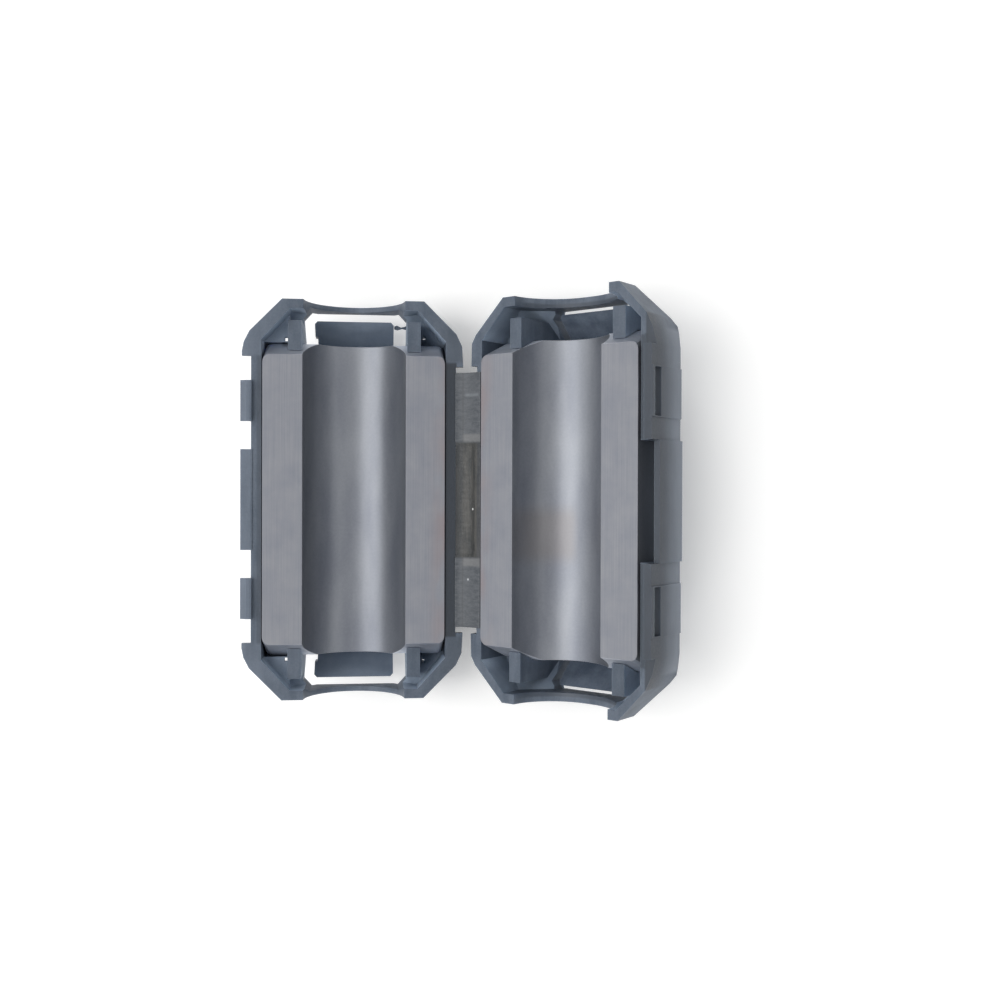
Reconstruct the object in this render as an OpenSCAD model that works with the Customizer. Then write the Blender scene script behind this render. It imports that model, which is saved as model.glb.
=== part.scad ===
// Clip-on ferrite bead: a hinged plastic clamshell that holds two half cores of ferrite.
// Both halves are drawn alike, each in its own frame: the latch side on +X, the hinge on -X, the
// cable along Y, and +Z out of the mating face. The origin is on the axis of the cable's bore.

/* [Case] */
// Length of the case along the cable
case_length = 35.2; // [35:0.1:36]
// Width from the cable's axis to the outside of the latch side
latch_half_width = 9.75; // [9.7:0.05:9.9]
// Width from the cable's axis to the outside of the hinge side, on the half with the catches
hinge_half_width = 9.6; // [9.5:0.05:9.7]
// Depth of one half below the mating plane
half_depth = 8.7; // [8.6:0.1:9.2]
// Thickness of the end walls
wall = 0.85; // [0.8:0.05:0.9]
// Height of the upright side wall above the long bevels
side_height = 3.7; // [3.6:0.1:3.9]
// How far each face is chamfered back towards the ends
end_chamfer = 3.4; // [3.3:0.1:3.5]
// How far the ferrite stands proud of the plastic rim
core_proud = 0.25; // [0.2:0.05:0.4]

/* [Core] */
// Diameter of the cable's bore
bore_d = 9; // [8.6:0.1:9]
// Width of a half core
core_width = 16; // [15.9:0.05:16]
// Length of a half core at its full length
core_length = 28; // [27.6:0.1:28]
// Length of its flat mating faces
core_face_length = 25.4; // [25:0.1:25.6]
// Height of a half core
core_height = 7.35; // [7:0.05:7.4]

/* [Opening] */
// Angle between the two mating faces as the clip lies open
open_angle = 136; // [133:1:139]

/* [Latch] */
// Height of the hood above the mating plane
hood_rise = 0.95; // [0.9:0.05:1.1]
// Length of one catch
catch_length = 3.55; // [3:0.05:3.6]
// Length of the pull tab
tab_length = 8.8; // [8:0.1:9]
// How far the catches and the tab reach from the cable's axis
catch_reach = 9.85; // [9.8:0.05:10.1]

/* [Hidden] */
$fn = 64;

plastic = [0.27, 0.29, 0.33];
ferrite = [0.52, 0.53, 0.56];

// The resting pose: both halves lean out from the hinge by the same angle.
lean = (180 - open_angle) / 2;
hinge_x = 9.75;

// Larger than the case in every direction, for tools that cut right through it
far = 30;

half_length = case_length / 2;
rim = -core_proud;
bevel_sum = latch_half_width + side_height;

// Set-off of the half with the hood: its hinge side is narrower by this much, and what lies
// in its floor and ends is shifted by it to the latch side
hood_shift = 0.35;

// Corners in plan, from the middle of a side to the mouth
latch_turn = 12.95;
hinge_turn = 11.8;
hood_turn = 12.3;
hook_latch = [[latch_half_width, latch_turn], [9.58, 13.8], [9.1, 14.75], [6.3, half_length]];
hood_latch = [[latch_half_width, hood_turn], [9.42, 13.6], [8.85, 14.85], [6.3, half_length]];
hook_hinge = [[hinge_half_width, hinge_turn], [9.5, 13.65], [9, 14.72], [6.12, half_length]];
hood_hinge = [[hinge_half_width - hood_shift, hinge_turn], [9.2, 13.85], [8.75, 14.6], [5.75, half_length]];
latch_wall_x = 8.95;
hinge_wall_x = 8.95;

// The corner blocks stand out past the side walls: where their ledges end, how thick a ledge is,
// and how far the block is cut back below it
latch_ledge = 12.57;
hinge_ledge = 11.85;
ledge_t = 0.65;
latch_undercut = 0.55;
hinge_undercut = 1.1;

// Cavity that holds the core
core_gap = 0.06;
cavity_half = core_width / 2 + core_gap;
cavity_floor = -7.5;
cavity_bevel = 12;
cavity_end = half_length - wall;
cavity_chamfer = 2.77;
inner_corner = 5.6;

// Extra room on the latch side of each half: across, along, and across at the ends
hook_room = [0, 0, 0];
hood_room = [0.03, 0.6, 0.52];

core_bevel = 11.75;
core_end_depth = 3;
core_side_gap = 0.02;

// Cable mouths, and the slot in each end of the floor that frees a spring tongue
mouth_r = 4.45;
hook_mouth_stretch = 0;
hood_mouth_stretch = 0.85;
window_half = 4.65;
hood_window_half = 4.2;
hook_window_end = 17.15;
hood_window_end = 16.82;
window_corner = 0.7;
tongue_half = 3.5;
tongue_root = 9.5;
tongue_tip = 16.4;
tongue_corner = 0.25;

// The tongue's head, which is wider on the latch side
head_half = 3.74;
head_root = 15.13;

// Claws that hold the core by its sloped ends, and the small hole beside each hinge-side one
claw_w = 1.2;
claw_back = 15.85;
claw_top = -1;
claw_gap = 0.07;
claw_foot = 0.2;
hole_low = [6.18, 14.8, -half_depth - 1];
hole_high = [6.43, 15.05, 0];

// Shelf in the latch-side corners of the half with the catches, with a hole beside the claw and a
// recess below that the hole opens into
shelf_top = -2.4;
shelf_skin = 0.6;
shelf_x = window_half + claw_w - 0.1;
shelf_y = core_length / 2 + core_gap;
shelf_hole_low = [5.92, 14.16, -half_depth - 1];
shelf_hole_high = [6.22, 14.5, 0];
recess_low = [5.87, 14.1, -half_depth - 1];
recess_high = [6.8, 15.4, shelf_top - shelf_skin];

// Hinge strap: two leaves that meet on the hinge's axis, thinner along the middle
strap_length = 22.6;
strap_thin_length = 10.2;
strap_top = -0.1;
strap_t = 0.4;
strap_thin_t = 0.22;
leaf_end = hinge_x - 0.02;

// Latch
hood_skin_x = 9.05;
hood_length = 24.6;
hood_wrap_rise = 0.2;
hood_wrap_x = 5.35;
hood_wrap_t = wall;
hood_wrap_corner = [8.35, 14.5];
hood_wrap_turn = 6.1;
window_low = -0.4;
window_high = 0.55;
window_play = 0.15;
catch_mid = 8.62;
catch_low = -0.5;
catch_lip = 0.4;
catch_high = 0.25;
catch_slope_x = 9.3;
tab_low = -1.1;
tab_high = -0.15;
pocket_length = 9.7;
pocket_x = 9.45;
pocket_depth = 3;
pad_rise = 0.1;
pad_margin = 0.1;
middle_pad_rise = 0.2;
middle_pad_top = 0;

// A little more than nothing, so that joined solids overlap
root = 0.1;

// Turns a profile drawn in X and Z into a bar along Y.
module along_y(length) {
    rotate([90, 0, 0])
        linear_extrude(height = length, center = true)
            children();
}

// Turns a profile drawn in Y and Z into a bar along X, from x0 on.
module along_x(x0, length) {
    translate([x0, 0, 0])
        rotate([90, 0, 90])
            linear_extrude(height = length)
                children();
}

// A box between two corners.
module block(low, high) {
    translate(low)
        cube(high - low);
}

// The same thing at both ends of the case.
module both_ends() {
    children();
    mirror([0, 1, 0])
        children();
}

// The same thing on the latch side and on the hinge side.
module both_sides() {
    children();
    mirror([1, 0, 0])
        children();
}

// A half space whose +X face stands at reach, ends at end_y and is chamfered back towards there.
module chamfered_face(reach, back, end_y) {
    linear_extrude(height = 2 * far, center = true)
        polygon([
            [-far, end_y],
            [reach - back, end_y],
            [reach, end_y - back],
            [reach, back - end_y],
            [reach - back, -end_y],
            [-far, -end_y]
        ]);
}

// Cuts the two bevels and the floor of what it is crossed with to their chamfered faces.
module chamfered_below(bevel, floor_z, back, end_y) {
    intersection() {
        rotate([0, 45, 0])
            chamfered_face(bevel / sqrt(2), back, end_y);
        rotate([0, 90, 0])
            chamfered_face(-floor_z, back, end_y);
        rotate([0, 135, 0])
            chamfered_face(bevel / sqrt(2), back, end_y);
    }
}

// The lower part of an octagon, open upwards, with a side wall at -low_x and one at high_x.
module trough(low_x, high_x, bevel, floor_z, top) {
    polygon([
        [high_x, top],
        [high_x, high_x - bevel],
        [bevel + floor_z, floor_z],
        [-bevel - floor_z, floor_z],
        [-low_x, low_x - bevel],
        [-low_x, top]
    ]);
}

// The outside of one half up to a height: an octagon's lower part with all its faces chamfered
// back towards the ends.
module outside(top, latch_side, hinge_side) {
    intersection() {
        along_y(case_length)
            trough(hinge_side[0][0], latch_side[0][0], bevel_sum, -half_depth, top);
        translate([0, 0, -far])
            linear_extrude(height = far + top)
                plan(latch_side, hinge_side);
        chamfered_below(bevel_sum, -half_depth, end_chamfer, half_length);
    }
}

// Plan of a half. A side is the row of corners from its middle to the mouth.
module plan(latch_side, hinge_side) {
    polygon([
        for (p = latch_side) p,
        for (i = [3:-1:0]) [-hinge_side[i][0], hinge_side[i][1]],
        for (i = [0:3]) [-hinge_side[i][0], -hinge_side[i][1]],
        for (i = [3:-1:0]) [latch_side[i][0], -latch_side[i][1]]
    ]);
}

// The room inside a half: the core's seat, and the clear space beyond it at both ends. The last
// argument widens it on the latch side: across, along, and across at the ends.
module inside(room) {
    seat_y = core_length / 2 + core_gap;
    latch_x = cavity_half + room[0];
    latch_y = seat_y + room[1];
    corner_x = inner_corner + room[2];
    intersection() {
        along_y(2 * cavity_end)
            trough(cavity_half, latch_x, cavity_bevel, cavity_floor, far);
        linear_extrude(height = 2 * far, center = true)
            polygon([
                [latch_x, latch_y],
                [corner_x, cavity_end],
                [-inner_corner, cavity_end],
                [-cavity_half, seat_y],
                [-cavity_half, -seat_y],
                [-inner_corner, -cavity_end],
                [corner_x, -cavity_end],
                [latch_x, -latch_y]
            ]);
        chamfered_below(cavity_bevel, cavity_floor, cavity_chamfer, cavity_end);
    }
}

// The mouth in one end: a round opening, which may be drawn out to an oval to the latch side.
module mouth(r, stretch) {
    translate([0, cavity_end - 1, 0])
        rotate([-90, 0, 0]) {
            cylinder(h = far, r = r);
            if (stretch > 0) {
                translate([stretch, 0, 0])
                    cylinder(h = far, r = r);
                translate([0, -far, 0])
                    cube([stretch, far + r, far]);
            }
        }
}

// The slot in one end: it runs round three sides of a spring tongue in the floor, and leaves only
// a thin bar below the mouth. It reaches to hinge_half on the hinge side.
module end_window(hinge_half, end_y) {
    translate([0, 0, -far])
        linear_extrude(height = 2 * far)
            polygon([
                [window_half, tongue_root],
                [window_half, end_y - window_corner],
                [window_half - window_corner, end_y],
                [window_corner - hinge_half, end_y],
                [-hinge_half, end_y - window_corner],
                [-hinge_half, tongue_root],
                [-tongue_half, tongue_root],
                [-tongue_half, tongue_tip - tongue_corner],
                [tongue_corner - tongue_half, tongue_tip],
                [head_half - tongue_corner, tongue_tip],
                [head_half, tongue_tip - tongue_corner],
                [head_half, head_root],
                [tongue_half, head_root],
                [tongue_half, tongue_root]
            ]);
}

// One claw; its nose leans over the sloped end of the core.
module claw() {
    slope = (core_length - core_face_length) / 2 / core_end_depth;
    nose_y = core_face_length / 2 - claw_top * slope + claw_gap;
    heel_y = core_length / 2 + claw_gap;
    foot_sum = cavity_end - cavity_chamfer - cavity_floor + claw_foot;
    along_x(window_half, claw_w)
        polygon([
            [nose_y, claw_top],
            [claw_back, claw_top],
            [claw_back, claw_back - foot_sum],
            [heel_y, heel_y - foot_sum],
            [heel_y, -core_end_depth]
        ]);
}

// The clear space beside a side wall, between the ledges of its two corner blocks.
module beside_wall(wall_x, ledge, undercut) {
    block([wall_x, -ledge, -far], [far, ledge, far]);
    block([wall_x, -ledge - undercut, -far], [far, ledge + undercut, rim - ledge_t]);
}

// What both shells share: walls, mouths, windows, tongues and claws. What is drawn as its
// children stays solid in the room inside.
module shell_half(latch_side, hinge_side, room, mouth_stretch, window_hinge_half, window_end, shift) {
    difference() {
        outside(rim, latch_side, hinge_side);
        difference() {
            inside(room);
            children();
        }
        both_ends()
            mouth(mouth_r, mouth_stretch);
        translate([shift, 0, 0])
            both_ends() {
                end_window(window_hinge_half, window_end);
                mirror([1, 0, 0])
                    block(hole_low, hole_high);
            }
        mirror([1, 0, 0])
            beside_wall(hinge_wall_x - shift, hinge_ledge, hinge_undercut);
    }
    intersection() {
        translate([shift, 0, 0])
            both_ends()
                both_sides()
                    claw();
        outside(rim, latch_side, hinge_side);
    }
}

// Half of the hinge strap, from inner_x on the side wall to just short of the axis.
module hinge_leaf(inner_x) {
    difference() {
        block([-leaf_end, -strap_length / 2, strap_top - strap_t],
              [-inner_x, strap_length / 2, strap_top]);
        block([-far, -strap_thin_length / 2, strap_top - strap_t + strap_thin_t],
              [far, strap_thin_length / 2, far]);
    }
}

// The shell with the catches and the pull tab.
module hook_half() {
    difference() {
        shell_half(hook_latch, hook_hinge, hook_room, hook_mouth_stretch, window_half,
                   hook_window_end, 0)
            both_ends()
                block([shelf_x, shelf_y, -far], [far, far, shelf_top]);
        beside_wall(latch_wall_x, latch_ledge, latch_undercut);
        both_ends() {
            block(shelf_hole_low, shelf_hole_high);
            block(recess_low, recess_high);
        }
    }
    hinge_leaf(hinge_wall_x - root);
    both_ends()
        catch();
    block([latch_wall_x - root, -tab_length / 2, tab_low], [catch_reach, tab_length / 2, tab_high]);
}

// One catch: flat below, with a slope above that leads the hood over it.
module catch() {
    translate([0, catch_mid, 0])
        along_y(catch_length)
            polygon([
                [latch_wall_x - root, catch_low],
                [catch_reach, catch_low],
                [catch_reach, catch_low + catch_lip],
                [catch_slope_x, catch_high],
                [latch_wall_x - root, catch_high]
            ]);
}

// The shell with the hood that laps over the other one's latch wall.
module hood_half() {
    window_length = catch_length + 2 * window_play;
    difference() {
        union() {
            shell_half(hood_latch, hood_hinge, hood_room, hood_mouth_stretch, hood_window_half,
                       hood_window_end, hood_shift);
            hinge_leaf(cavity_half);
            hood();
            middle_pad();
            both_ends()
                catch_pad(window_length + 2 * pad_margin);
        }
        both_ends()
            block([hood_skin_x - root, catch_mid - window_length / 2, window_low],
                  [far, catch_mid + window_length / 2, window_high]);
        block([cavity_half - root, -pocket_length / 2, -pocket_depth],
              [pocket_x, pocket_length / 2, far]);
        block([cavity_half - root, -pocket_length / 2, 0],
              [far, pocket_length / 2, far]);
    }
}

// The hood: a thin skin along the latch side, with a low wrap round both corners to the mouths.
module hood() {
    difference() {
        outside(hood_rise, hood_latch, hood_hinge);
        block([-far, -far, -far], [hood_skin_x, far, far]);
        both_ends()
            block([0, hood_length / 2, hood_wrap_rise], [far, far, far]);
    }
    difference() {
        outside(hood_wrap_rise, hood_latch, hood_hinge);
        block([-far, -far, -far], [hood_wrap_x, far, far]);
        block([-far, -hood_turn, -far], [far, hood_turn, far]);
        both_ends()
            linear_extrude(height = 2 * far, center = true)
                polygon([
                    [0, 0],
                    [latch_half_width - hood_wrap_t, 0],
                    [latch_half_width - hood_wrap_t, hood_turn],
                    hood_wrap_corner,
                    [hood_wrap_turn, half_length - hood_wrap_t],
                    [0, half_length - hood_wrap_t]
                ]);
    }
}

// The thicker patch of skin round one catch window.
module catch_pad(length) {
    block([latch_half_width - root, catch_mid - length / 2, -side_height],
          [latch_half_width + pad_rise, catch_mid + length / 2, hood_rise]);
}

// The thicker skin outside the pull tab's pocket, so that the pocket's outer wall stays stiff.
module middle_pad() {
    block([latch_half_width - root, -pocket_length / 2, -side_height],
          [latch_half_width + middle_pad_rise, pocket_length / 2, middle_pad_top]);
}

// One half core: bevelled to suit the case, bored for the cable, and sloped at its ends.
module half_core() {
    half_w = core_width / 2 - core_side_gap;
    half_l = core_length / 2;
    face_l = core_face_length / 2;
    difference() {
        intersection() {
            along_y(core_length)
                trough(half_w, half_w, core_bevel, -core_height, 0);
            along_x(-far, 2 * far)
                polygon([
                    [face_l, 0],
                    [half_l, -core_end_depth],
                    [half_l, -far],
                    [-half_l, -far],
                    [-half_l, -core_end_depth],
                    [-face_l, 0]
                ]);
        }
        rotate([90, 0, 0])
            cylinder(h = 2 * far, r = bore_d / 2, center = true);
    }
}

// Puts a half in the place of the hook half: latch side to the left.
module on_hook_side() {
    rotate([0, lean, 0])
        mirror([1, 0, 0])
            children();
}

// Puts a half in the place of the hood half, turned up about the hinge by the opening angle.
module on_hood_side() {
    rotate([0, lean, 0])
        translate([hinge_x, 0, 0])
            rotate([0, -2 * lean, 0])
                translate([hinge_x, 0, 0])
                    children();
}

module hook_shell() {
    color(plastic)
        on_hook_side()
            hook_half();
}

module hood_shell() {
    color(plastic)
        on_hood_side()
            hood_half();
}

module lower_core() {
    color(ferrite)
        on_hook_side()
            half_core();
}

module upper_core() {
    color(ferrite)
        on_hood_side()
            half_core();
}

hook_shell();
hood_shell();
lower_core();
upper_core();
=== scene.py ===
import math
import bmesh
import bpy
from mathutils import Matrix, Vector
from mathutils.bvhtree import BVHTree


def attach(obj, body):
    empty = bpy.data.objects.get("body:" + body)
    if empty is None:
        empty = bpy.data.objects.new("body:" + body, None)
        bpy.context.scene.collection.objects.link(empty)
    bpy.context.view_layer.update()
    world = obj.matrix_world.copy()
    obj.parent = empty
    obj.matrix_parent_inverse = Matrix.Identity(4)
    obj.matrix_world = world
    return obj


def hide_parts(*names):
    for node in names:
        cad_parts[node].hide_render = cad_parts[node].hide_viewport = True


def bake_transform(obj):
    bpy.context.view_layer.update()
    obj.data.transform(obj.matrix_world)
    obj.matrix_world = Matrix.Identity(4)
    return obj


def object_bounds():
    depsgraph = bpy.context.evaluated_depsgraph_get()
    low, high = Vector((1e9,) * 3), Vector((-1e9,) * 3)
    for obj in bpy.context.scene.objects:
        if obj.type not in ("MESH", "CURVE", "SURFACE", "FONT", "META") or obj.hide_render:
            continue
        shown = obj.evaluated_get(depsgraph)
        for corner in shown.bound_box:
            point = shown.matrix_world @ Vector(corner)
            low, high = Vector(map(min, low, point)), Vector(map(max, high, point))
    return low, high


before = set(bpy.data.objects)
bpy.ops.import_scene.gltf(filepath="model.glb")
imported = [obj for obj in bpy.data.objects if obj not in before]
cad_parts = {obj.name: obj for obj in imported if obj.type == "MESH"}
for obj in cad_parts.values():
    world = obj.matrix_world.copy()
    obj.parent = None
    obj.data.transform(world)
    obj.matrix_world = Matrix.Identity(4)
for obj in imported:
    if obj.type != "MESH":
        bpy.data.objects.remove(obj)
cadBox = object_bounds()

mm = 0.001

# How the clip lies: each half leans out from the hinge by the same angle, and has a frame of its
# own with the cable along Y and Z out of its mating face. In the catch half's frame the hinge is
# on +X, in the hood half's it is on -X.
lying = {
    "lean": math.radians(22),
    "hingeX": 9.75,               # from a bore's axis to the hinge's, mm
}
hingeShift = Matrix.Translation((lying["hingeX"] * mm, 0, 0))
catchFrame = Matrix.Rotation(lying["lean"], 4, "Y")
hoodFrame = catchFrame @ hingeShift @ Matrix.Rotation(-2 * lying["lean"], 4, "Y") @ hingeShift

print("stage: camera")
camera = {
    "place": (2.12421, 0.57337, 98.67525),        # in the catch half's frame, mm
    "turn": Vector((0.00581, 0.1087, -0.00247)),  # rotation vector, radians
    "focal": 1113.263,                            # focal length in pixels,
    "width": 1000,                                # of a picture this wide
    "sensor": 36,                                 # mm
    "nearest": 5,                                 # mm
}

def makeCamera(spec):
    data = bpy.data.cameras.new("camera")
    data.sensor_width = spec["sensor"]
    data.lens = spec["focal"] * spec["sensor"] / spec["width"]
    data.clip_start = spec["nearest"] * mm
    item = bpy.data.objects.new("camera", data)
    bpy.context.collection.objects.link(item)
    turned = Matrix.Rotation(-spec["turn"].length, 4, spec["turn"].normalized())
    item.matrix_world = catchFrame @ Matrix.Translation(Vector(spec["place"]) * mm) @ turned
    bpy.context.scene.camera = item

makeCamera(camera)

print("stage: materials")

def newMaterial(name):
    mat = bpy.data.materials.new(name)
    mat.use_nodes = True
    return mat, mat.node_tree, mat.node_tree.nodes["Principled BSDF"]

def addNode(tree, kind, **settings):
    item = tree.nodes.new(kind)
    for key, value in settings.items():
        setattr(item, key, value)
    return item

def halfCoordinates(tree, matrix):
    # object coordinates turned into a half's own frame, in millimetres
    coords = addNode(tree, "ShaderNodeTexCoord")
    back = matrix.inverted()
    turn = addNode(tree, "ShaderNodeMapping")
    turn.inputs["Location"].default_value = back.to_translation() / mm
    turn.inputs["Rotation"].default_value = back.to_euler()
    turn.inputs["Scale"].default_value = (1 / mm, 1 / mm, 1 / mm)
    tree.links.new(coords.outputs["Object"], turn.inputs["Vector"])
    return turn.outputs["Vector"]

def stretched(tree, vector, scale):
    stretch = addNode(tree, "ShaderNodeMapping")
    stretch.inputs["Scale"].default_value = scale
    tree.links.new(vector, stretch.inputs["Vector"])
    return stretch.outputs["Vector"]

def axesOf(tree, place):
    split = addNode(tree, "ShaderNodeSeparateXYZ")
    tree.links.new(place, split.inputs["Vector"])
    return split.outputs

def noiseOf(tree, vector, scale, detail=3, rough=0.55):
    item = addNode(tree, "ShaderNodeTexNoise")
    item.inputs["Scale"].default_value = scale
    item.inputs["Detail"].default_value = detail
    item.inputs["Roughness"].default_value = rough
    tree.links.new(vector, item.inputs["Vector"])
    return item.outputs["Fac"]

def remap(tree, value, low, high, toLow=0.0, toHigh=1.0, smooth=False):
    kind = "SMOOTHSTEP" if smooth else "LINEAR"
    item = addNode(tree, "ShaderNodeMapRange", interpolation_type=kind)
    item.inputs["From Min"].default_value = low
    item.inputs["From Max"].default_value = high
    item.inputs["To Min"].default_value = toLow
    item.inputs["To Max"].default_value = toHigh
    tree.links.new(value, item.inputs["Value"])
    return item.outputs["Result"]

def calc(tree, operation, first, second):
    item = addNode(tree, "ShaderNodeMath", operation=operation)
    for socket, value in zip(item.inputs, (first, second)):
        if isinstance(value, (int, float)):
            socket.default_value = value
        else:
            tree.links.new(value, socket)
    return item.outputs["Value"]

def mixed(tree, first, second, share):
    # the first value by its share, and the second by the rest
    return calc(tree, "ADD", calc(tree, "MULTIPLY", first, share), calc(tree, "MULTIPLY", second, 1 - share))

def blendColours(tree, factor, first, second):
    item = addNode(tree, "ShaderNodeMix", data_type="RGBA")
    tree.links.new(factor, item.inputs["Factor"])
    for socket, value in ((item.inputs[6], first), (item.inputs[7], second)):
        if isinstance(value, tuple):
            socket.default_value = (*value, 1)
        else:
            tree.links.new(value, socket)
    return item.outputs[2]

grainSpan = (0.3, 0.7)            # where nearly all values of a noise lie

def setRoughness(tree, bsdf, value, limits):
    tree.links.new(remap(tree, value, *grainSpan, *limits), bsdf.inputs["Roughness"])

def addBump(tree, bsdf, height, strength, distance):
    item = addNode(tree, "ShaderNodeBump")
    item.inputs["Strength"].default_value = strength
    item.inputs["Distance"].default_value = distance
    tree.links.new(height, item.inputs["Height"])
    tree.links.new(item.outputs["Normal"], bsdf.inputs["Normal"])

casePlastic = {
    "dark": (0.061, 0.081, 0.112),
    "pale": (0.118, 0.143, 0.183),
    "paintedPocketLight": ((0.24, 0.295, 0.375), (0.34, 0.405, 0.49)),   # painted light: paler tones in the pockets beyond the core
    "spread": (0.36, 0.66),       # noise values that give the dark tone and the pale one
    "flow": (0.9, 0.16, 0.9),     # flow marks drawn out along the cable, cycles per mm
    "flowShare": 0.55,            # the rest is cloud
    "cloud": 0.35,                # cycles per mm
    "grain": 5.0,                 # moulded grain, cycles per mm
    "grainShare": 0.3,            # what the grain adds to the tone
    "roughness": (0.42, 0.56),
    "specular": 0.45,
    "bump": (0.25, 0.00004),      # strength, and height in metres
    "bleed": 0.35,                # share of light that enters the plastic,
    "bleedTint": (0.8, 0.9, 1),   # its colour there
    "reach": 0.0009,              # and how far it travels, in metres
}

def between(tree, value, low, high, soft):
    # 1 where the value lies between the two limits, with soft ends
    return calc(tree, "MULTIPLY", remap(tree, value, low - soft, low + soft, 0, 1, True),
                remap(tree, value, high - soft, high + soft, 1, 0, True))

# paints patches of other colour: painted shade, painted light, and some real marks
def shaded(tree, place, colour, shades):
    # a shade lies between limits of X, Z and the distance from the middle, "y", or one side's Y,
    # "side", in a half's own frame; each pair of limits ends with its softness, all in mm
    axes = axesOf(tree, place)
    away = calc(tree, "ABSOLUTE", axes["Y"], 0)
    values = {"x": axes["X"], "y": away, "side": axes["Y"], "z": axes["Z"]}
    for shade in shades:
        mask = shade["share"]
        for key, value in values.items():
            if key in shade:
                mask = calc(tree, "MULTIPLY", between(tree, value, *shade[key]), mask)
        colour = blendColours(tree, mask, colour, shade["colour"])
    return colour

def makePlastic(name, matrix, shades, spec, tones=None):
    mat, tree, bsdf = newMaterial(name)
    dark, pale = tones or (spec["dark"], spec["pale"])
    place = halfCoordinates(tree, matrix)
    flow = noiseOf(tree, stretched(tree, place, spec["flow"]), 1.0, 4, 0.6)
    cloud = noiseOf(tree, place, spec["cloud"], 2, 0.5)
    grain = noiseOf(tree, place, spec["grain"], 3, 0.6)
    rise = calc(tree, "MULTIPLY", calc(tree, "SUBTRACT", grain, 0.5), spec["grainShare"])
    tone = calc(tree, "ADD", mixed(tree, flow, cloud, spec["flowShare"]), rise)
    colour = blendColours(tree, remap(tree, tone, *spec["spread"]), dark, pale)
    colour = shaded(tree, place, colour, shades)
    tree.links.new(colour, bsdf.inputs["Base Color"])
    setRoughness(tree, bsdf, grain, spec["roughness"])
    bsdf.inputs["Specular IOR Level"].default_value = spec["specular"]
    bsdf.inputs["Subsurface Weight"].default_value = spec["bleed"]
    bsdf.inputs["Subsurface Radius"].default_value = spec["bleedTint"]
    bsdf.inputs["Subsurface Scale"].default_value = spec["reach"]
    addBump(tree, bsdf, grain, *spec["bump"])
    return mat

groundFerrite = {
    "tones": ((0.195, 0.204, 0.238), (0.252, 0.256, 0.279)),
    "spread": (0.35, 0.65),       # noise values that give the first tone and the second
    "grind": (9.0, 0.12, 9.0),    # grinding lines drawn out along the core, cycles per mm
    "grindShare": 0.5,            # the rest is cloud
    "cloud": 0.45,                # cycles per mm
    "grain": 9.0,
    "roughness": (0.4, 0.55),
    "specular": 0.5,
    "bump": (0.15, 0.00003),      # strength, and height in metres
    "stain": (0.245, 0.2, 0.205),
    "stainFrom": 6.2,             # the stain by the hinge starts this far from the bore's axis, mm,
    "stainTo": 8.0,               # is full from here,
    "stainShare": 0.75,
    "patches": (0.4, 0.16, 0.4),  # and comes in patches, cycles per mm,
    "patchSpread": (0.42, 0.62),  # that start and are full at these noise values
}

def makeGroundFace(name, matrix, hingeSide, spec):
    mat, tree, bsdf = newMaterial(name)
    place = halfCoordinates(tree, matrix)
    lines = noiseOf(tree, stretched(tree, place, spec["grind"]), 1.0, 3, 0.6)
    cloud = noiseOf(tree, place, spec["cloud"], 3, 0.55)
    grain = noiseOf(tree, place, spec["grain"], 2, 0.6)
    tone = mixed(tree, lines, cloud, spec["grindShare"])
    base = blendColours(tree, remap(tree, tone, *spec["spread"]), *spec["tones"])
    across = calc(tree, "MULTIPLY", axesOf(tree, place)["X"], hingeSide)
    reach = remap(tree, across, spec["stainFrom"], spec["stainTo"], 0, 1, True)
    patchNoise = noiseOf(tree, stretched(tree, place, spec["patches"]), 1.0, 3, 0.5)
    patches = remap(tree, patchNoise, *spec["patchSpread"])
    stain = calc(tree, "MULTIPLY", calc(tree, "MULTIPLY", reach, patches), spec["stainShare"])
    tree.links.new(blendColours(tree, stain, base, spec["stain"]), bsdf.inputs["Base Color"])
    setRoughness(tree, bsdf, grain, spec["roughness"])
    bsdf.inputs["Specular IOR Level"].default_value = spec["specular"]
    addBump(tree, bsdf, calc(tree, "ADD", lines, calc(tree, "MULTIPLY", grain, 0.5)), *spec["bump"])
    return mat

firedFerrite = {
    "bore": ((0.146, 0.157, 0.185), (0.21, 0.221, 0.244)),
    "end": ((0.31, 0.33, 0.385), (0.42, 0.44, 0.49)),        # the sloped ends, painted paler: painted light, and paler still at their foot
    "foot": (0.7, 0.74, 0.82),                               # and more so at their foot
    "spread": (0.35, 0.65),       # noise values that give the first tone and the second
    "cloud": (0.5, 0.12, 0.5),    # drawn out along the core, cycles per mm
    "cloudShare": 0.7,            # the rest is grain
    "grain": 4.5,                 # cycles per mm
    "roughness": (0.36, 0.41),
    "metal": 0.58,
    "specular": 0.9,
    "bump": (0.06, 0.00003),      # strength, and height in metres
}

def makeFired(name, matrix, tones, marks, spec):
    mat, tree, bsdf = newMaterial(name)
    place = halfCoordinates(tree, matrix)
    cloud = noiseOf(tree, stretched(tree, place, spec["cloud"]), 1.0, 3, 0.5)
    grain = noiseOf(tree, place, spec["grain"], 4, 0.7)
    tone = mixed(tree, cloud, grain, spec["cloudShare"])
    colour = blendColours(tree, remap(tree, tone, *spec["spread"]), *tones)
    colour = shaded(tree, place, colour, marks)
    tree.links.new(colour, bsdf.inputs["Base Color"])
    setRoughness(tree, bsdf, grain, spec["roughness"])
    bsdf.inputs["Metallic"].default_value = spec["metal"]
    bsdf.inputs["Specular IOR Level"].default_value = spec["specular"]
    addBump(tree, bsdf, grain, *spec["bump"])
    return mat

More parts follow.
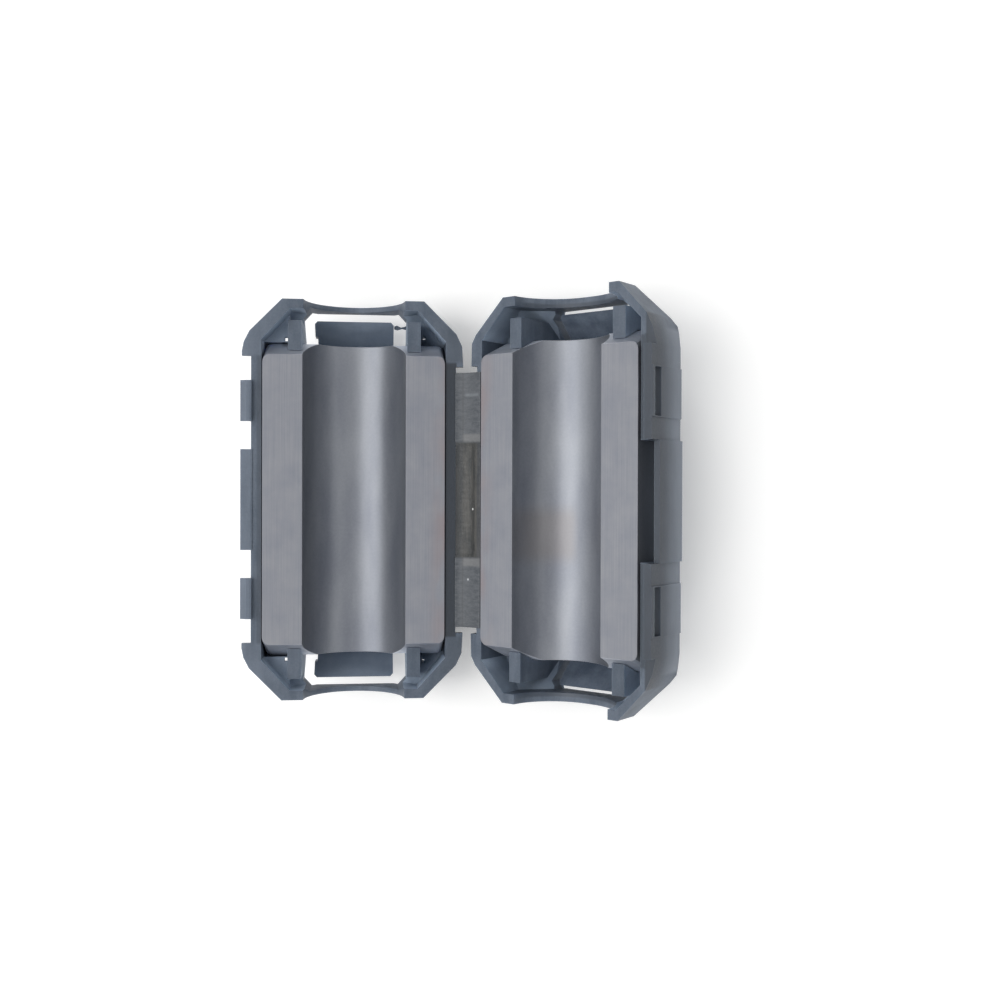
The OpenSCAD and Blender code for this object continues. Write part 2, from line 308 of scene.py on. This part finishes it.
filmLook = {
    "band": ((0.045, 0.052, 0.062), (0.094, 0.101, 0.113)),
    "middle": ((0.018, 0.02, 0.021), (0.06, 0.058, 0.054)),
    "spread": (0.38, 0.64),       # noise values that give the first tone of the bands and the second,
    "middleSpread": (0.36, 0.64),  # and the same for the thin middle
    "middleHalf": 5.1,            # half length of the thin middle, mm
    "middleSoft": 0.12,           # softness of its ends, mm
    "roughness": (0.4, 0.62),
    "bump": (0.5, 0.00008),       # strength, and height in metres
    # the middle's shadow by the catch half, a line at the root, the middle's other edge, pale ends
    # of the bands, a pale streak and two glints
    "marks": [
        {"x": (7, 8.78, 0.12), "y": (-1, 5.1, 0.1), "share": 0.5, "colour": (0.022, 0.026, 0.031)},
        {"x": (8.8, 8.93, 0.04), "y": (-1, 11.2, 0.1), "share": 0.28, "colour": (0.02, 0.02, 0.02)},
        {"x": (10.25, 10.8, 0.07), "y": (-1, 5.1, 0.1), "share": 0.5, "colour": (0.03, 0.035, 0.045)},
        {"x": (8.9, 10.6, 0.2), "y": (5.15, 5.85, 0.12), "share": 0.4, "colour": (0.24, 0.235, 0.23)},
        {"x": (9.1, 10.4, 0.15), "side": (9.2, 9.45, 0.1), "share": 0.35, "colour": (0.26, 0.28, 0.3)},
        {"x": (9.73, 9.86, 0.04), "side": (-0.88, -0.72, 0.04), "z": (-3.75, -3, 0.04), "share": 1,
         "colour": (0.8, 0.8, 0.78)},
        {"x": (9.32, 9.46, 0.05), "side": (-7.12, -6.96, 0.05), "z": (-3.75, -3, 0.04), "share": 0.8,
         "colour": (0.6, 0.62, 0.64)},
    ],
}

def makeFilm(name, spec):
    mat, tree, bsdf = newMaterial(name)
    unbent = addNode(tree, "ShaderNodeAttribute", attribute_name="unbent")
    place = stretched(tree, unbent.outputs["Vector"], (1 / mm, 1 / mm, 1 / mm))
    speckle = noiseOf(tree, stretched(tree, place, (1.0, 2.4, 1.0)), 1.6, 4, 0.65)
    streak = noiseOf(tree, stretched(tree, place, (3.0, 0.35, 3.0)), 1.0, 3, 0.6)
    grain = noiseOf(tree, place, 6.0, 3, 0.6)
    band = blendColours(tree, remap(tree, speckle, *spec["spread"]), *spec["band"])
    middle = blendColours(tree, remap(tree, streak, *spec["middleSpread"]), *spec["middle"])
    away = calc(tree, "ABSOLUTE", axesOf(tree, place)["Y"], 0)
    inner, outer = spec["middleHalf"] - spec["middleSoft"], spec["middleHalf"] + spec["middleSoft"]
    mask = remap(tree, away, inner, outer, 0, 1, True)
    colour = shaded(tree, place, blendColours(tree, mask, middle, band), spec["marks"])
    tree.links.new(colour, bsdf.inputs["Base Color"])
    setRoughness(tree, bsdf, speckle, spec["roughness"])
    addBump(tree, bsdf, calc(tree, "ADD", speckle, calc(tree, "MULTIPLY", grain, 0.4)), *spec["bump"])
    return mat

# painted shade and painted light on the halves, standing in for how light falls on them
catchShades = [
    {"x": (8.0, 9.0, 0.06), "y": (-1, 12.2, 0.12), "z": (-3, 0, 0.1), "share": 0.95,
     "colour": (0.014, 0.02, 0.03)},                         # wall by the hinge, painted shade
    {"x": (-8.45, -7.9, 0.12), "y": (-1, 12.6, 0.12), "z": (-3, 0.5, 0.1), "share": 0.5,
     "colour": (0.032, 0.042, 0.057)},                       # inner edge of the latch wall, painted shade
    {"x": (-12, -7.5, 2), "y": (12.6, 18, 0.3), "share": 0.3,
     "colour": (0.17, 0.2, 0.25)},                           # paler corners by the latch, painted light
    {"x": (-12, -9.0, 0.1), "y": (-1, 10.6, 0.1), "share": 0.4,
     "colour": (0.17, 0.2, 0.25)},                           # paler catches and tab, painted light
    {"x": (7.5, 12, 2), "y": (12.2, 18, 0.3), "share": 0.5,
     "colour": (0.045, 0.055, 0.07)},                        # darker corners by the hinge, painted shade
    {"x": (-8.8, -6.5, 0.1), "side": (12.3, 14.8, 0.2), "z": (-9, -1, 0.2), "share": 0.9,
     "colour": (0.5, 0.57, 0.68)},                           # painted light in the deep corner by the core, inside and out
]
hoodShades = [
    {"x": (7.9, 9.0, 0.1), "y": (4.9, 13.2, 0.12), "z": (-3, 0.5, 0.1), "share": 0.75,
     "colour": (0.026, 0.034, 0.048)},                       # strip between core and hood, painted shade
    {"x": (8.8, 12, 0.1), "y": (-1, 20, 0.5), "z": (-1.6, 3, 1.7), "share": 0.85,
     "colour": (0.028, 0.035, 0.047)},                       # top of the hood, painted shade
    {"x": (9.3, 12, 0.1), "y": (-1, 20, 0.5), "z": (-9, -2.4, 1.6), "share": 0.75,
     "colour": (0.22, 0.245, 0.285)},                        # foot of its outer face, painted light
    {"x": (-5.6, 6.4, 0.3), "y": (16.55, 17.15, 0.1), "z": (-5.8, -1.2, 0.4), "share": 0.6,
     "colour": (0.03, 0.037, 0.05)},                         # inner lip of the mouths, painted shade
    {"x": (7.9, 9.4, 0.1), "y": (-1, 4.82, 0.05), "z": (-4, -0.7, 0.1), "share": 0.9,
     "colour": (0.24, 0.27, 0.32)},                          # pocket for the pull tab, painted light
]
pocketShades = [
    {"x": (-3.9, 3.9, 0.1), "share": 0.66,
     "colour": (0.09, 0.112, 0.145)},                        # spring tongues, less painted light
    {"x": (4.2, 6.2, 0.2), "side": (16.1, 17.0, 0.15), "share": 0.5,
     "colour": (0.1, 0.125, 0.16)},                          # end wall of one pocket, painted shade
]
hoodPocketShades = [
    {"x": (-9, 2, 0.5), "y": (14.6, 18, 0.5), "share": 0.55,
     "colour": (0.09, 0.112, 0.145)},                        # the side that the hinge's wall shades
]
catchPlastic = makePlastic("catchPlastic", catchFrame, catchShades, casePlastic)
hoodPlastic = makePlastic("hoodPlastic", hoodFrame, hoodShades, casePlastic)
# the pocket materials carry painted light: paler tones where little light reaches
catchPocket = makePlastic("catchPocket", catchFrame, pocketShades, casePlastic, casePlastic["paintedPocketLight"])
hoodPocket = makePlastic("hoodPocket", hoodFrame, hoodPocketShades, casePlastic, casePlastic["paintedPocketLight"])
# painted light: the sloped ends grow paler towards their foot
paintedFootLight = [{"z": (-9, -1.6, 1.4), "share": 1, "colour": firedFerrite["foot"]}]
boreStain = [{"x": (-4.6, -0.9, 0.6), "side": (-5.2, -0.8, 0.9), "share": 0.4, "colour": (0.17, 0.145, 0.13)}]
catchFerrite = [makeGroundFace("lowerGroundFace", catchFrame, 1, groundFerrite),
                makeFired("lowerFiredFerrite", catchFrame, firedFerrite["bore"], [], firedFerrite),
                makeFired("lowerCoreEnd", catchFrame, firedFerrite["end"], paintedFootLight, firedFerrite)]
hoodFerrite = [makeGroundFace("upperGroundFace", hoodFrame, -1, groundFerrite),
               makeFired("upperFiredFerrite", hoodFrame, firedFerrite["bore"], boreStain, firedFerrite),
               makeFired("upperCoreEnd", hoodFrame, firedFerrite["end"], paintedFootLight, firedFerrite)]
hingeFilm = makeFilm("hingeFilm", filmLook)

def addPiece(name, bm, materials, body):
    mesh = bpy.data.meshes.new(name)
    bm.normal_update()
    bm.to_mesh(mesh)
    bm.free()
    for mat in materials:
        mesh.materials.append(mat)
    item = bpy.data.objects.new(name, mesh)
    bpy.context.collection.objects.link(item)
    if body:
        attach(item, body)
    return item

meshing = {
    "merge": 0.002,               # corners this close are one, mm
    "flat": math.radians(0.6),    # faces that lie this flat are joined
    "square": math.radians(50),   # edges of flat pieces are sharper than this
    "largeFaceWeight": 80,        # for the weighted normals
}

def shadeSmooth(item):
    for face in item.data.polygons:
        face.use_smooth = True

def weighNormals(item):
    shadeSmooth(item)
    mod = item.modifiers.new("weighted", "WEIGHTED_NORMAL")
    mod.keep_sharp = True
    mod.weight = meshing["largeFaceWeight"]

def joinFlatFaces(bm):
    bmesh.ops.dissolve_limit(bm, angle_limit=meshing["flat"], verts=bm.verts, edges=bm.edges)

def nodeCopy(node, matrix):
    # a merged copy of a CAD node's mesh, in its half's own frame
    bm = bmesh.new()
    bm.from_mesh(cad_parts[node].data)
    bmesh.ops.remove_doubles(bm, verts=bm.verts, dist=meshing["merge"] * mm)
    bm.transform(matrix.inverted())
    joinFlatFaces(bm)
    return bm

def edgeAngle(edge):
    return edge.calc_face_angle(0.0) if len(edge.link_faces) == 2 else 0.0

def sharpEdges(bm, angle):
    return [e for e in bm.edges if edgeAngle(e) > angle]

def roundEdges(bm, edges, width, segments):
    bmesh.ops.bevel(bm, geom=edges, offset=width * mm, offset_type="OFFSET", affect="EDGES",
                    segments=segments, profile=0.5, material=-1, clamp_overlap=True)

print("stage: shells")
shell = {
    "edge": 0.09,                 # rounding of the moulded edges, mm
    "segments": 2,
    "sharp": math.radians(24),
    "largeFace": 30,              # faces with more corners than this are cut into triangles
    "leafHalf": 11.5,             # the hinge leaf is shorter than this each way, mm,
    "leafSide": 7.9,              # and lies beyond this from the bore's axis
    "rim": -0.25,                 # height of the rim
    "slack": 0.01,                # what lies this close to a wall's face or the rim is part of it,
    "cutGap": 0.002,              # and the leaf is cut this far outside it
    "cutMerge": 0.003,
    "pocketFrom": 12.9,           # the pockets lie between these along the cable,
    "pocketTo": 16.9,
    "pocketTop": -1.08,           # below this,
    "reach": 14,                  # and face another wall within this
    "offFace": 0.02,              # where the search for that wall starts
    "level": 0.5,                 # upward part of a floor's normal
}

def isSheltered(face, tree, clear):
    # true in the pockets beyond a core: on what faces another part of the shell, and on the floors
    centre = face.calc_center_median()
    if abs(centre.x) < clear * mm or centre.z > shell["pocketTop"] * mm:
        return False
    if not shell["pocketFrom"] * mm < abs(centre.y) < shell["pocketTo"] * mm:
        return False
    if face.normal.z > shell["level"]:
        return True
    start = centre + face.normal * shell["offFace"] * mm
    return tree.ray_cast(start, face.normal, shell["reach"] * mm)[0] is not None

def cutOff(bm, side, normal, reach, half):
    # cuts off the part of the hinge leaf that stands past a wall's face or above its rim
    limit = (reach + shell["slack"]) * mm
    faces = []
    for face in bm.faces:
        points = [v.co for v in face.verts]
        standsOut = any(p.dot(normal) > limit for p in points)
        isShort = all(abs(p.y) < half or p.dot(normal) < limit for p in points)
        isBeyond = all(p.x * side > shell["leafSide"] * mm for p in points)
        if standsOut and isShort and isBeyond:
            faces.append(face)
    # each part once and in a fixed order, so that every run cuts alike
    geom = list(dict.fromkeys(part for f in faces for part in (f, *f.edges, *f.verts)))
    cut = normal * (reach + shell["cutGap"]) * mm
    bmesh.ops.bisect_plane(bm, geom=geom, plane_co=cut, plane_no=normal, clear_outer=True)
    bmesh.ops.holes_fill(bm, edges=[e for e in bm.edges if e.is_boundary], sides=0)

def makeShell(name, node, matrix, hingeSide, wallX, clear, materials, body):
    # wallX is the outer face of the wall by the hinge; nothing nearer the middle than clear is a pocket
    bm = nodeCopy(node, matrix)
    half = shell["leafHalf"] * mm
    cutOff(bm, hingeSide, Vector((hingeSide, 0, 0)), wallX, half)
    cutOff(bm, hingeSide, Vector((0, 0, 1)), shell["rim"], half)
    bmesh.ops.remove_doubles(bm, verts=bm.verts, dist=shell["cutMerge"] * mm)
    joinFlatFaces(bm)
    bmesh.ops.triangulate(bm, faces=[f for f in bm.faces if len(f.verts) > shell["largeFace"]])
    roundEdges(bm, sharpEdges(bm, shell["sharp"]), shell["edge"], shell["segments"])
    bm.normal_update()
    tree = BVHTree.FromBMesh(bm)
    # faces in the pockets get the second material, whose paler tones are painted light
    for face in bm.faces:
        face.material_index = 1 if isSheltered(face, tree, clear) else 0
    bm.transform(matrix)
    item = addPiece(name, bm, materials, body)
    weighNormals(item)
    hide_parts(node)

makeShell("catchShell", "hook_shell", catchFrame, 1, 8.95, 0, [catchPlastic, catchPocket], "hook_half")
makeShell("hoodShell", "hood_shell", hoodFrame, -1, 8.6, 4.4, [hoodPlastic, hoodPocket], "hood_half")

print("stage: cores")
core = {
    "edge": 0.1,                  # rounding of the edges, mm
    "segments": 2,
    "cornerEdge": 0.6,            # rounding where a side meets a sloped end, mm
    "cornerSegments": 4,
    "cornerRise": 0.5,            # such an edge rises by more than this, mm
    "sharp": math.radians(20),
    "side": 7.9,                  # the sides lie beyond this from the bore's axis, mm
    "faceTop": -0.3,              # the ground faces lie above this, mm,
    "level": 0.9,                 # and this is the upward part of their normal
    "endSlope": 0.6,              # part of a sloped end's normal that points along the core
}

def makeCore(name, node, matrix, materials, body):
    bm = nodeCopy(node, matrix)
    corners = []
    for edge in sharpEdges(bm, core["sharp"]):
        a, b = (v.co / mm for v in edge.verts)
        onSide = abs(a.x) > core["side"] and abs(b.x) > core["side"]
        if onSide and abs(a.z - b.z) > core["cornerRise"]:
            corners.append(edge)
    roundEdges(bm, corners, core["cornerEdge"], core["cornerSegments"])
    roundEdges(bm, sharpEdges(bm, core["sharp"]), core["edge"], core["segments"])
    bm.normal_update()
    for face in bm.faces:
        # the three materials are those of a ground face, the bore and sides, and a sloped end
        if face.normal.z > core["level"] and face.calc_center_median().z / mm > core["faceTop"]:
            face.material_index = 0
        else:
            face.material_index = 2 if abs(face.normal.y) > core["endSlope"] else 1
    bm.transform(matrix)
    item = addPiece(name, bm, materials, body)
    weighNormals(item)
    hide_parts(node)

makeCore("lowerHalfCore", "lower_core", catchFrame, catchFerrite, "hook_half")
makeCore("upperHalfCore", "upper_core", hoodFrame, hoodFerrite, "hood_half")

print("stage: flash")
flash = {
    "outline": [(3.55, 16.16), (3.8, 16.26), (4.18, 16.07), (4.76, 16.22),     # seen from above,
                (4.76, 15.84), (4.27, 15.93), (3.85, 15.8), (3.55, 15.88)],    # in the half's frame, mm
    "top": -5.95,                 # height of its upper face there
    "thickness": 0.13,
    "edge": 0.03,                 # rounding of its edges
    "segments": 2,
}

def makeFlash(spec):
    # a bit of flash that bridges one spring tongue's slot
    bm = bmesh.new()
    bm.faces.new([bm.verts.new((x * mm, y * mm, spec["top"] * mm)) for x, y in spec["outline"]])
    bmesh.ops.recalc_face_normals(bm, faces=bm.faces)
    bmesh.ops.solidify(bm, geom=bm.faces, thickness=spec["thickness"] * mm)
    bmesh.ops.recalc_face_normals(bm, faces=bm.faces)
    roundEdges(bm, sharpEdges(bm, meshing["square"]), spec["edge"], spec["segments"])
    bm.transform(catchFrame)
    item = addPiece("mouldingFlash", bm, [catchPlastic], "hook_half")
    weighNormals(item)

makeFlash(flash)

print("stage: hinge strap")
strap = {
    "roots": (8.87, -8.1),        # its ends on the two walls, mm from the bores' axes
    "bends": (8.87, -8.55),       # where it starts to bend
    "top": -0.12,                 # height of its upper face in a half's frame
    "bow": -0.1,                  # how far its bend is drawn up, or down where negative
    "length": 22.6,
    "middleLength": 10.2,         # length of its thin middle,
    "middleDrop": 0.2,            # which lies this much lower,
    "middleSlope": 0.25,          # and goes down over this length
    "thickness": 0.38,
    "wallFrom": 0.72,             # beyond this share of its width it lies on the hood half's wall,
    "wallDrop": 0.3,              # where its middle goes down by this share
    "edge": 0.06,                 # rounding of its edges
    "segments": 2,
    "steps": 14,                  # faces across and along
    "rows": 92,
}

def makeStrap(spec):
    start = catchFrame @ Vector((spec["roots"][0] * mm, 0, spec["top"] * mm))
    end = hoodFrame @ Vector((spec["roots"][1] * mm, 0, spec["top"] * mm))
    axis = catchFrame @ Vector((lying["hingeX"] * mm, 0, (spec["top"] + spec["bow"]) * mm))
    bm = bmesh.new()
    half = spec["length"] / 2 * mm
    bmesh.ops.create_grid(bm, x_segments=spec["steps"], y_segments=spec["rows"], size=1)
    for v in bm.verts:
        t = (v.co.x + 1) / 2
        y = v.co.y * half
        p = start * (1 - t) ** 2 + axis * (2 * t * (1 - t)) + end * t ** 2
        inward = spec["middleLength"] / 2 - abs(y) / mm
        drop = spec["middleDrop"] * min(1, max(0, inward / spec["middleSlope"]))
        if t > spec["wallFrom"]:
            drop *= spec["wallDrop"]
        v.co = p + Vector((0, y, -drop * mm))
    bmesh.ops.solidify(bm, geom=bm.faces, thickness=spec["thickness"] * mm)
    bmesh.ops.recalc_face_normals(bm, faces=bm.faces)
    roundEdges(bm, sharpEdges(bm, meshing["square"]), spec["edge"], spec["segments"])
    item = addPiece("hingeStrap", bm, [hingeFilm], None)
    # its material keeps to the places of the resting strap when the strap bends
    unbent = item.data.attributes.new("unbent", "FLOAT_VECTOR", "POINT")
    for v in item.data.vertices:
        unbent.data[v.index].vector = v.co
    shadeSmooth(item)
    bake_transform(item)

makeStrap(strap)

print("stage: floor and light")
studio = {
    "floorHalf": 1.5,             # metres
    "floor": (1, 0.985, 0.97),
    "floorRoughness": 0.9,
    "white": 0.16,                # light that the floor adds towards the camera
    "sky": (0.95, 0.98, 1),
    "ambient": 0.43,
    "aim": (9, 0, 0),             # what the lamps point at, mm
}

def seenDirectly(tree):
    # 1 for what the camera sees, by itself, in a reflection or through something clear
    ray = addNode(tree, "ShaderNodeLightPath").outputs
    second = calc(tree, "MAXIMUM", ray["Is Glossy Ray"], ray["Is Transmission Ray"])
    return calc(tree, "MAXIMUM", ray["Is Camera Ray"], second)

def makeFloor(spec):
    bm = bmesh.new()
    bmesh.ops.create_grid(bm, x_segments=1, y_segments=1, size=spec["floorHalf"])
    bmesh.ops.translate(bm, verts=bm.verts, vec=(0, 0, cadBox[0][2]))
    mesh = bpy.data.meshes.new("floor")
    bm.to_mesh(mesh)
    bm.free()
    item = bpy.data.objects.new("floor", mesh)
    bpy.context.collection.objects.link(item)
    mat, tree, bsdf = newMaterial("floorWhite")
    bsdf.inputs["Base Color"].default_value = (*spec["floor"], 1)
    bsdf.inputs["Roughness"].default_value = spec["floorRoughness"]
    glow = addNode(tree, "ShaderNodeEmission")
    glow.inputs["Color"].default_value = (1, 1, 1, 1)
    tree.links.new(calc(tree, "MULTIPLY", seenDirectly(tree), spec["white"]), glow.inputs["Strength"])
    both = addNode(tree, "ShaderNodeAddShader")
    tree.links.new(bsdf.outputs["BSDF"], both.inputs[0])
    tree.links.new(glow.outputs["Emission"], both.inputs[1])
    tree.links.new(both.outputs["Shader"], tree.nodes["Material Output"].inputs["Surface"])
    mesh.materials.append(mat)

def makeWorld(spec):
    world = bpy.data.worlds.new("world")
    bpy.context.scene.world = world
    world.use_nodes = True
    tree = world.node_tree
    lit = tree.nodes["Background"]
    lit.inputs["Color"].default_value = (*spec["sky"], 1)
    lit.inputs["Strength"].default_value = spec["ambient"]
    white = addNode(tree, "ShaderNodeBackground")
    white.inputs["Strength"].default_value = 1
    white.inputs["Color"].default_value = (1, 1, 1, 1)
    mix = addNode(tree, "ShaderNodeMixShader")
    tree.links.new(seenDirectly(tree), mix.inputs["Fac"])
    tree.links.new(lit.outputs["Background"], mix.inputs[1])
    tree.links.new(white.outputs["Background"], mix.inputs[2])
    tree.links.new(mix.outputs["Shader"], tree.nodes["World Output"].inputs["Surface"])

# places and sizes in mm, power in watts
lamps = {
    "key": {"place": (-114, 0, 416), "size": (225, 360), "power": 0.75, "colour": (1, 0.99, 0.97)},
    "left": {"place": (-275, 0, 335), "size": (260, 400), "power": 0.25, "colour": (0.96, 0.98, 1)},
    "right": {"place": (400, 0, 90), "size": (420, 450), "power": 0.14, "colour": (0.96, 0.98, 1)},
    "far": {"place": (9, 330, 280), "size": (300, 150), "power": 0.36, "colour": (0.97, 0.985, 1)},
    "near": {"place": (9, -330, 280), "size": (300, 150), "power": 0.36, "colour": (0.97, 0.985, 1)},
}

def makeLamp(name, spec, aim):
    data = bpy.data.lights.new(name, "AREA")
    data.shape = "RECTANGLE"
    data.size, data.size_y = (v * mm for v in spec["size"])
    data.energy = spec["power"]
    data.color = spec["colour"]
    item = bpy.data.objects.new(name, data)
    item.location = Vector(spec["place"]) * mm
    item.rotation_euler = (Vector(aim) * mm - item.location).to_track_quat("-Z", "Y").to_euler()
    bpy.context.collection.objects.link(item)

makeFloor(studio)
makeWorld(studio)
for name, spec in lamps.items():
    makeLamp(name, spec, studio["aim"])
bpy.context.scene.view_settings.view_transform = "Standard"
